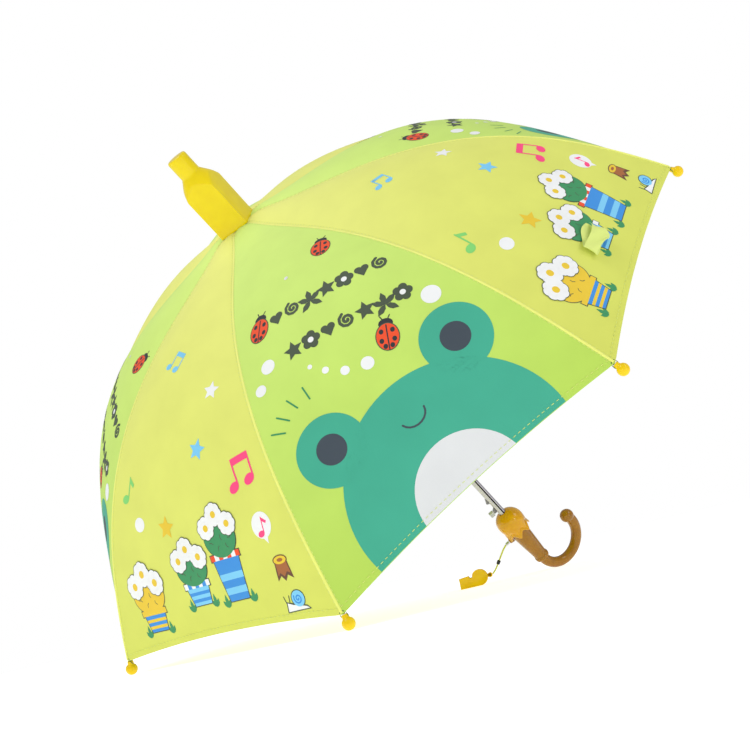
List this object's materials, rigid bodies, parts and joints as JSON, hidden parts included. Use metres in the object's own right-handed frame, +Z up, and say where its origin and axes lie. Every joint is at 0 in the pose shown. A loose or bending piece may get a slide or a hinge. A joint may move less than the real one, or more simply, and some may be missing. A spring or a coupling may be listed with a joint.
{
  "type": "children's umbrella",
  "caption": "Open child's stick umbrella with alternating lime and yellow gores, a dripping scoop-and-cone handle, a crook and a whistle on a cord.",
  "frame": {"origin": "bottom centre of the bounding box, cord and whistle left out; the umbrella lies open on a floor at z = 0, on two rib tips and the bend of its crook", "axes": "+Z up; the shaft lies in the YZ plane, with the ferrule towards -Y and up, and the handle towards +Y; X runs across the canopy"},
  "size_m": [0.7504, 0.5892, 0.5511],
  "materials": {
    "lime_fabric": "satin woven polyester",
    "yellow_fabric": "satin woven polyester",
    "yellow_plastic": "gloss moulded",
    "tip_plastic": "gloss moulded",
    "chrome_steel": "plated",
    "black_steel": "dark plated",
    "black_plastic": "matte moulded",
    "grey_plastic": "matte moulded",
    "amber_plastic": "gloss, translucent look",
    "tan_plastic": "gloss moulded",
    "whistle_plastic": "gloss moulded",
    "cord_fibre": "braided"
  },
  "bodies": {
    "frame": {"shaft": "chrome_steel", "crown": "black_plastic", "cover_outer": "yellow_plastic", "cover_inner": "yellow_plastic", "opening_spring": "black_steel", "scoop": "amber_plastic", "cone": "tan_plastic", "hook": "tan_plastic", "cord_tab": "tan_plastic", "cord_ferrule": "chrome_steel", "cord": "cord_fibre", "bead": "black_plastic", "whistle": "whistle_plastic"},
    "runner": {"runner": "black_plastic", "drive_pin": "black_steel"},
    "catch": {"catch_plate": "black_steel", "push_button": "grey_plastic"},
    "rib_1": {"rib_1": "black_steel", "tip_1": "tip_plastic"},
    "stretcher_1": {"stretcher_1": "black_steel"},
    "panel_1a": {"panel_1a": "yellow_fabric"},
    "panel_1b": {"panel_1b": "lime_fabric"},
    "rib_2": {"rib_2": "black_steel", "tip_2": "tip_plastic"},
    "stretcher_2": {"stretcher_2": "black_steel"},
    "panel_2a": {"panel_2a": "lime_fabric"},
    "panel_2b": {"panel_2b": "yellow_fabric"},
    "rib_3": {"rib_3": "black_steel", "tip_3": "tip_plastic"},
    "stretcher_3": {"stretcher_3": "black_steel"},
    "panel_3a": {"panel_3a": "yellow_fabric"},
    "panel_3b": {"panel_3b": "lime_fabric"},
    "rib_4": {"rib_4": "black_steel", "tip_4": "tip_plastic"},
    "stretcher_4": {"stretcher_4": "black_steel"},
    "panel_4a": {"panel_4a": "lime_fabric"},
    "panel_4b": {"panel_4b": "yellow_fabric"},
    "rib_5": {"rib_5": "black_steel", "tip_5": "tip_plastic"},
    "stretcher_5": {"stretcher_5": "black_steel"},
    "panel_5a": {"panel_5a": "yellow_fabric"},
    "panel_5b": {"panel_5b": "lime_fabric"},
    "rib_6": {"rib_6": "black_steel", "tip_6": "tip_plastic"},
    "stretcher_6": {"stretcher_6": "black_steel"},
    "panel_6a": {"panel_6a": "lime_fabric"},
    "panel_6b": {"panel_6b": "yellow_fabric"},
    "rib_7": {"rib_7": "black_steel", "tip_7": "tip_plastic"},
    "stretcher_7": {"stretcher_7": "black_steel"},
    "panel_7a": {"panel_7a": "yellow_fabric"},
    "panel_7b": {"panel_7b": "lime_fabric"},
    "rib_8": {"rib_8": "black_steel", "tip_8": "tip_plastic"},
    "stretcher_8": {"stretcher_8": "black_steel"},
    "panel_8a": {"panel_8a": "lime_fabric"},
    "panel_8b": {"panel_8b": "yellow_fabric", "tie_strap": "lime_fabric"}
  },
  "joints": [
    {"name": "runner_slide", "type": "slide", "parent": "frame", "child": "runner", "axis": [0, -0.7023, 0.7119], "range_m": [-0.21789, 0], "deforming": ["opening_spring"]},
    {"name": "rib_1_hinge", "type": "hinge", "parent": "frame", "child": "rib_1", "pos_m": [0.01016, -0.15224, 0.4183], "axis": [-0.3827, 0.6577, 0.6488], "range_deg": [0, 59.01]},
    {"name": "stretcher_1_hinge", "type": "hinge", "parent": "runner", "child": "stretcher_1", "pos_m": [0.01016, -0.01646, 0.28066], "axis": [0.3827, -0.6577, -0.6488], "range_deg": [0, 35.69]},
    {"name": "panel_1a_fold", "type": "hinge", "parent": "rib_1", "child": "panel_1a", "pos_m": [0.01016, -0.15224, 0.4183], "axis": [-0.8158, -0.5702, 0.0969], "range_deg": [0, 60.01], "deforming": ["panel_1a"]},
    {"name": "panel_1b_fold", "type": "hinge", "parent": "rib_1", "child": "panel_1b", "pos_m": [0.01016, -0.15224, 0.4183], "axis": [0.8158, 0.5702, -0.0969], "range_deg": [0, 60.01], "deforming": ["panel_1b"]},
    {"name": "rib_2_hinge", "type": "hinge", "parent": "frame", "child": "rib_2", "pos_m": [0.00421, -0.148, 0.42248], "axis": [-0.9239, 0.2724, 0.2687], "range_deg": [0, 59.01]},
    {"name": "stretcher_2_hinge", "type": "hinge", "parent": "runner", "child": "stretcher_2", "pos_m": [0.00421, -0.01222, 0.28484], "axis": [0.9239, -0.2724, -0.2687], "range_deg": [0, 35.69]},
    {"name": "panel_2a_fold", "type": "hinge", "parent": "rib_2", "child": "panel_2a", "pos_m": [0.00421, -0.148, 0.42248], "axis": [-0.3379, -0.9104, -0.2387], "range_deg": [0, 60.01], "deforming": ["panel_2a"]},
    {"name": "panel_2b_fold", "type": "hinge", "parent": "rib_2", "child": "panel_2b", "pos_m": [0.00421, -0.148, 0.42248], "axis": [0.3379, 0.9104, 0.2387], "range_deg": [0, 60.01], "deforming": ["panel_2b"]},
    {"name": "rib_3_hinge", "type": "hinge", "parent": "frame", "child": "rib_3", "pos_m": [-0.00421, -0.148, 0.42248], "axis": [-0.9239, -0.2724, -0.2687], "range_deg": [0, 59.01]},
    {"name": "stretcher_3_hinge", "type": "hinge", "parent": "runner", "child": "stretcher_3", "pos_m": [-0.00421, -0.01222, 0.28484], "axis": [0.9239, 0.2724, 0.2687], "range_deg": [0, 35.69]},
    {"name": "panel_3a_fold", "type": "hinge", "parent": "rib_3", "child": "panel_3a", "pos_m": [-0.00421, -0.148, 0.42248], "axis": [0.3379, -0.9104, -0.2387], "range_deg": [0, 60.01], "deforming": ["panel_3a"]},
    {"name": "panel_3b_fold", "type": "hinge", "parent": "rib_3", "child": "panel_3b", "pos_m": [-0.00421, -0.148, 0.42248], "axis": [-0.3379, 0.9104, 0.2387], "range_deg": [0, 60.01], "deforming": ["panel_3b"]},
    {"name": "rib_4_hinge", "type": "hinge", "parent": "frame", "child": "rib_4", "pos_m": [-0.01016, -0.15224, 0.4183], "axis": [-0.3827, -0.6577, -0.6488], "range_deg": [0, 59.01]},
    {"name": "stretcher_4_hinge", "type": "hinge", "parent": "runner", "child": "stretcher_4", "pos_m": [-0.01016, -0.01646, 0.28066], "axis": [0.3827, 0.6577, 0.6488], "range_deg": [0, 35.69]},
    {"name": "panel_4a_fold", "type": "hinge", "parent": "rib_4", "child": "panel_4a", "pos_m": [-0.01016, -0.15224, 0.4183], "axis": [0.8158, -0.5702, 0.0969], "range_deg": [0, 60.01], "deforming": ["panel_4a"]},
    {"name": "panel_4b_fold", "type": "hinge", "parent": "rib_4", "child": "panel_4b", "pos_m": [-0.01016, -0.15224, 0.4183], "axis": [-0.8158, 0.5702, -0.0969], "range_deg": [0, 60.01], "deforming": ["panel_4b"]},
    {"name": "rib_5_hinge", "type": "hinge", "parent": "frame", "child": "rib_5", "pos_m": [-0.01016, -0.15823, 0.41239], "axis": [0.3827, -0.6577, -0.6488], "range_deg": [0, 59.01]},
    {"name": "stretcher_5_hinge", "type": "hinge", "parent": "runner", "child": "stretcher_5", "pos_m": [-0.01016, -0.02246, 0.27475], "axis": [-0.3827, 0.6577, 0.6488], "range_deg": [0, 35.69]},
    {"name": "panel_5a_fold", "type": "hinge", "parent": "rib_5", "child": "panel_5a", "pos_m": [-0.01016, -0.15823, 0.41239], "axis": [0.8158, -0.0891, 0.5715], "range_deg": [0, 60.01], "deforming": ["panel_5a"]},
    {"name": "panel_5b_fold", "type": "hinge", "parent": "rib_5", "child": "panel_5b", "pos_m": [-0.01016, -0.15823, 0.41239], "axis": [-0.8158, 0.0891, -0.5715], "range_deg": [0, 60.01], "deforming": ["panel_5b"]},
    {"name": "rib_6_hinge", "type": "hinge", "parent": "frame", "child": "rib_6", "pos_m": [-0.00421, -0.16247, 0.40821], "axis": [0.9239, -0.2724, -0.2687], "range_deg": [0, 59.01]},
    {"name": "stretcher_6_hinge", "type": "hinge", "parent": "runner", "child": "stretcher_6", "pos_m": [-0.00421, -0.0267, 0.27057], "axis": [-0.9239, 0.2724, 0.2687], "range_deg": [0, 35.69]},
    {"name": "panel_6a_fold", "type": "hinge", "parent": "rib_6", "child": "panel_6a", "pos_m": [-0.00421, -0.16247, 0.40821], "axis": [0.3379, 0.2511, 0.9071], "range_deg": [0, 60.01], "deforming": ["panel_6a"]},
    {"name": "panel_6b_fold", "type": "hinge", "parent": "rib_6", "child": "panel_6b", "pos_m": [-0.00421, -0.16247, 0.40821], "axis": [-0.3379, -0.2511, -0.9071], "range_deg": [0, 60.01], "deforming": ["panel_6b"]},
    {"name": "rib_7_hinge", "type": "hinge", "parent": "frame", "child": "rib_7", "pos_m": [0.00421, -0.16247, 0.40821], "axis": [0.9239, 0.2724, 0.2687], "range_deg": [0, 59.01]},
    {"name": "stretcher_7_hinge", "type": "hinge", "parent": "runner", "child": "stretcher_7", "pos_m": [0.00421, -0.0267, 0.27057], "axis": [-0.9239, -0.2724, -0.2687], "range_deg": [0, 35.69]},
    {"name": "panel_7a_fold", "type": "hinge", "parent": "rib_7", "child": "panel_7a", "pos_m": [0.00421, -0.16247, 0.40821], "axis": [-0.3379, 0.2511, 0.9071], "range_deg": [0, 60.01], "deforming": ["panel_7a"]},
    {"name": "panel_7b_fold", "type": "hinge", "parent": "rib_7", "child": "panel_7b", "pos_m": [0.00421, -0.16247, 0.40821], "axis": [0.3379, -0.2511, -0.9071], "range_deg": [0, 60.01], "deforming": ["panel_7b"]},
    {"name": "rib_8_hinge", "type": "hinge", "parent": "frame", "child": "rib_8", "pos_m": [0.01016, -0.15823, 0.41239], "axis": [0.3827, 0.6577, 0.6488], "range_deg": [0, 59.01]},
    {"name": "stretcher_8_hinge", "type": "hinge", "parent": "runner", "child": "stretcher_8", "pos_m": [0.01016, -0.02246, 0.27475], "axis": [-0.3827, -0.6577, -0.6488], "range_deg": [0, 35.69]},
    {"name": "panel_8a_fold", "type": "hinge", "parent": "rib_8", "child": "panel_8a", "pos_m": [0.01016, -0.15823, 0.41239], "axis": [-0.8158, -0.0891, 0.5715], "range_deg": [0, 60.01], "deforming": ["panel_8a"]},
    {"name": "panel_8b_fold", "type": "hinge", "parent": "rib_8", "child": "panel_8b", "pos_m": [0.01016, -0.15823, 0.41239], "axis": [0.8158, 0.0891, -0.5715], "range_deg": [0, 60.01], "deforming": ["panel_8b", "tie_strap"]},
    {"name": "button_press", "type": "slide", "parent": "frame", "child": "catch", "axis": [0.7096, 0.5016, 0.4948], "range_m": [0, 0.0022], "stiffness_N_per_m": 900, "springref_m": -0.002}
  ],
  "couplings": [
    {"joint": "rib_1_hinge", "follows": "runner_slide", "rad_per_m": -4.726},
    {"joint": "stretcher_1_hinge", "follows": "runner_slide", "rad_per_m": -2.8578},
    {"joint": "panel_1a_fold", "follows": "runner_slide", "rad_per_m": -4.8061},
    {"joint": "panel_1b_fold", "follows": "runner_slide", "rad_per_m": -4.8061},
    {"joint": "rib_2_hinge", "follows": "runner_slide", "rad_per_m": -4.726},
    {"joint": "stretcher_2_hinge", "follows": "runner_slide", "rad_per_m": -2.8578},
    {"joint": "panel_2a_fold", "follows": "runner_slide", "rad_per_m": -4.8061},
    {"joint": "panel_2b_fold", "follows": "runner_slide", "rad_per_m": -4.8061},
    {"joint": "rib_3_hinge", "follows": "runner_slide", "rad_per_m": -4.726},
    {"joint": "stretcher_3_hinge", "follows": "runner_slide", "rad_per_m": -2.8578},
    {"joint": "panel_3a_fold", "follows": "runner_slide", "rad_per_m": -4.8061},
    {"joint": "panel_3b_fold", "follows": "runner_slide", "rad_per_m": -4.8061},
    {"joint": "rib_4_hinge", "follows": "runner_slide", "rad_per_m": -4.726},
    {"joint": "stretcher_4_hinge", "follows": "runner_slide", "rad_per_m": -2.8578},
    {"joint": "panel_4a_fold", "follows": "runner_slide", "rad_per_m": -4.8061},
    {"joint": "panel_4b_fold", "follows": "runner_slide", "rad_per_m": -4.8061},
    {"joint": "rib_5_hinge", "follows": "runner_slide", "rad_per_m": -4.726},
    {"joint": "stretcher_5_hinge", "follows": "runner_slide", "rad_per_m": -2.8578},
    {"joint": "panel_5a_fold", "follows": "runner_slide", "rad_per_m": -4.8061},
    {"joint": "panel_5b_fold", "follows": "runner_slide", "rad_per_m": -4.8061},
    {"joint": "rib_6_hinge", "follows": "runner_slide", "rad_per_m": -4.726},
    {"joint": "stretcher_6_hinge", "follows": "runner_slide", "rad_per_m": -2.8578},
    {"joint": "panel_6a_fold", "follows": "runner_slide", "rad_per_m": -4.8061},
    {"joint": "panel_6b_fold", "follows": "runner_slide", "rad_per_m": -4.8061},
    {"joint": "rib_7_hinge", "follows": "runner_slide", "rad_per_m": -4.726},
    {"joint": "stretcher_7_hinge", "follows": "runner_slide", "rad_per_m": -2.8578},
    {"joint": "panel_7a_fold", "follows": "runner_slide", "rad_per_m": -4.8061},
    {"joint": "panel_7b_fold", "follows": "runner_slide", "rad_per_m": -4.8061},
    {"joint": "rib_8_hinge", "follows": "runner_slide", "rad_per_m": -4.726},
    {"joint": "stretcher_8_hinge", "follows": "runner_slide", "rad_per_m": -2.8578},
    {"joint": "panel_8a_fold", "follows": "runner_slide", "rad_per_m": -4.8061},
    {"joint": "panel_8b_fold", "follows": "runner_slide", "rad_per_m": -4.8061}
  ]
}
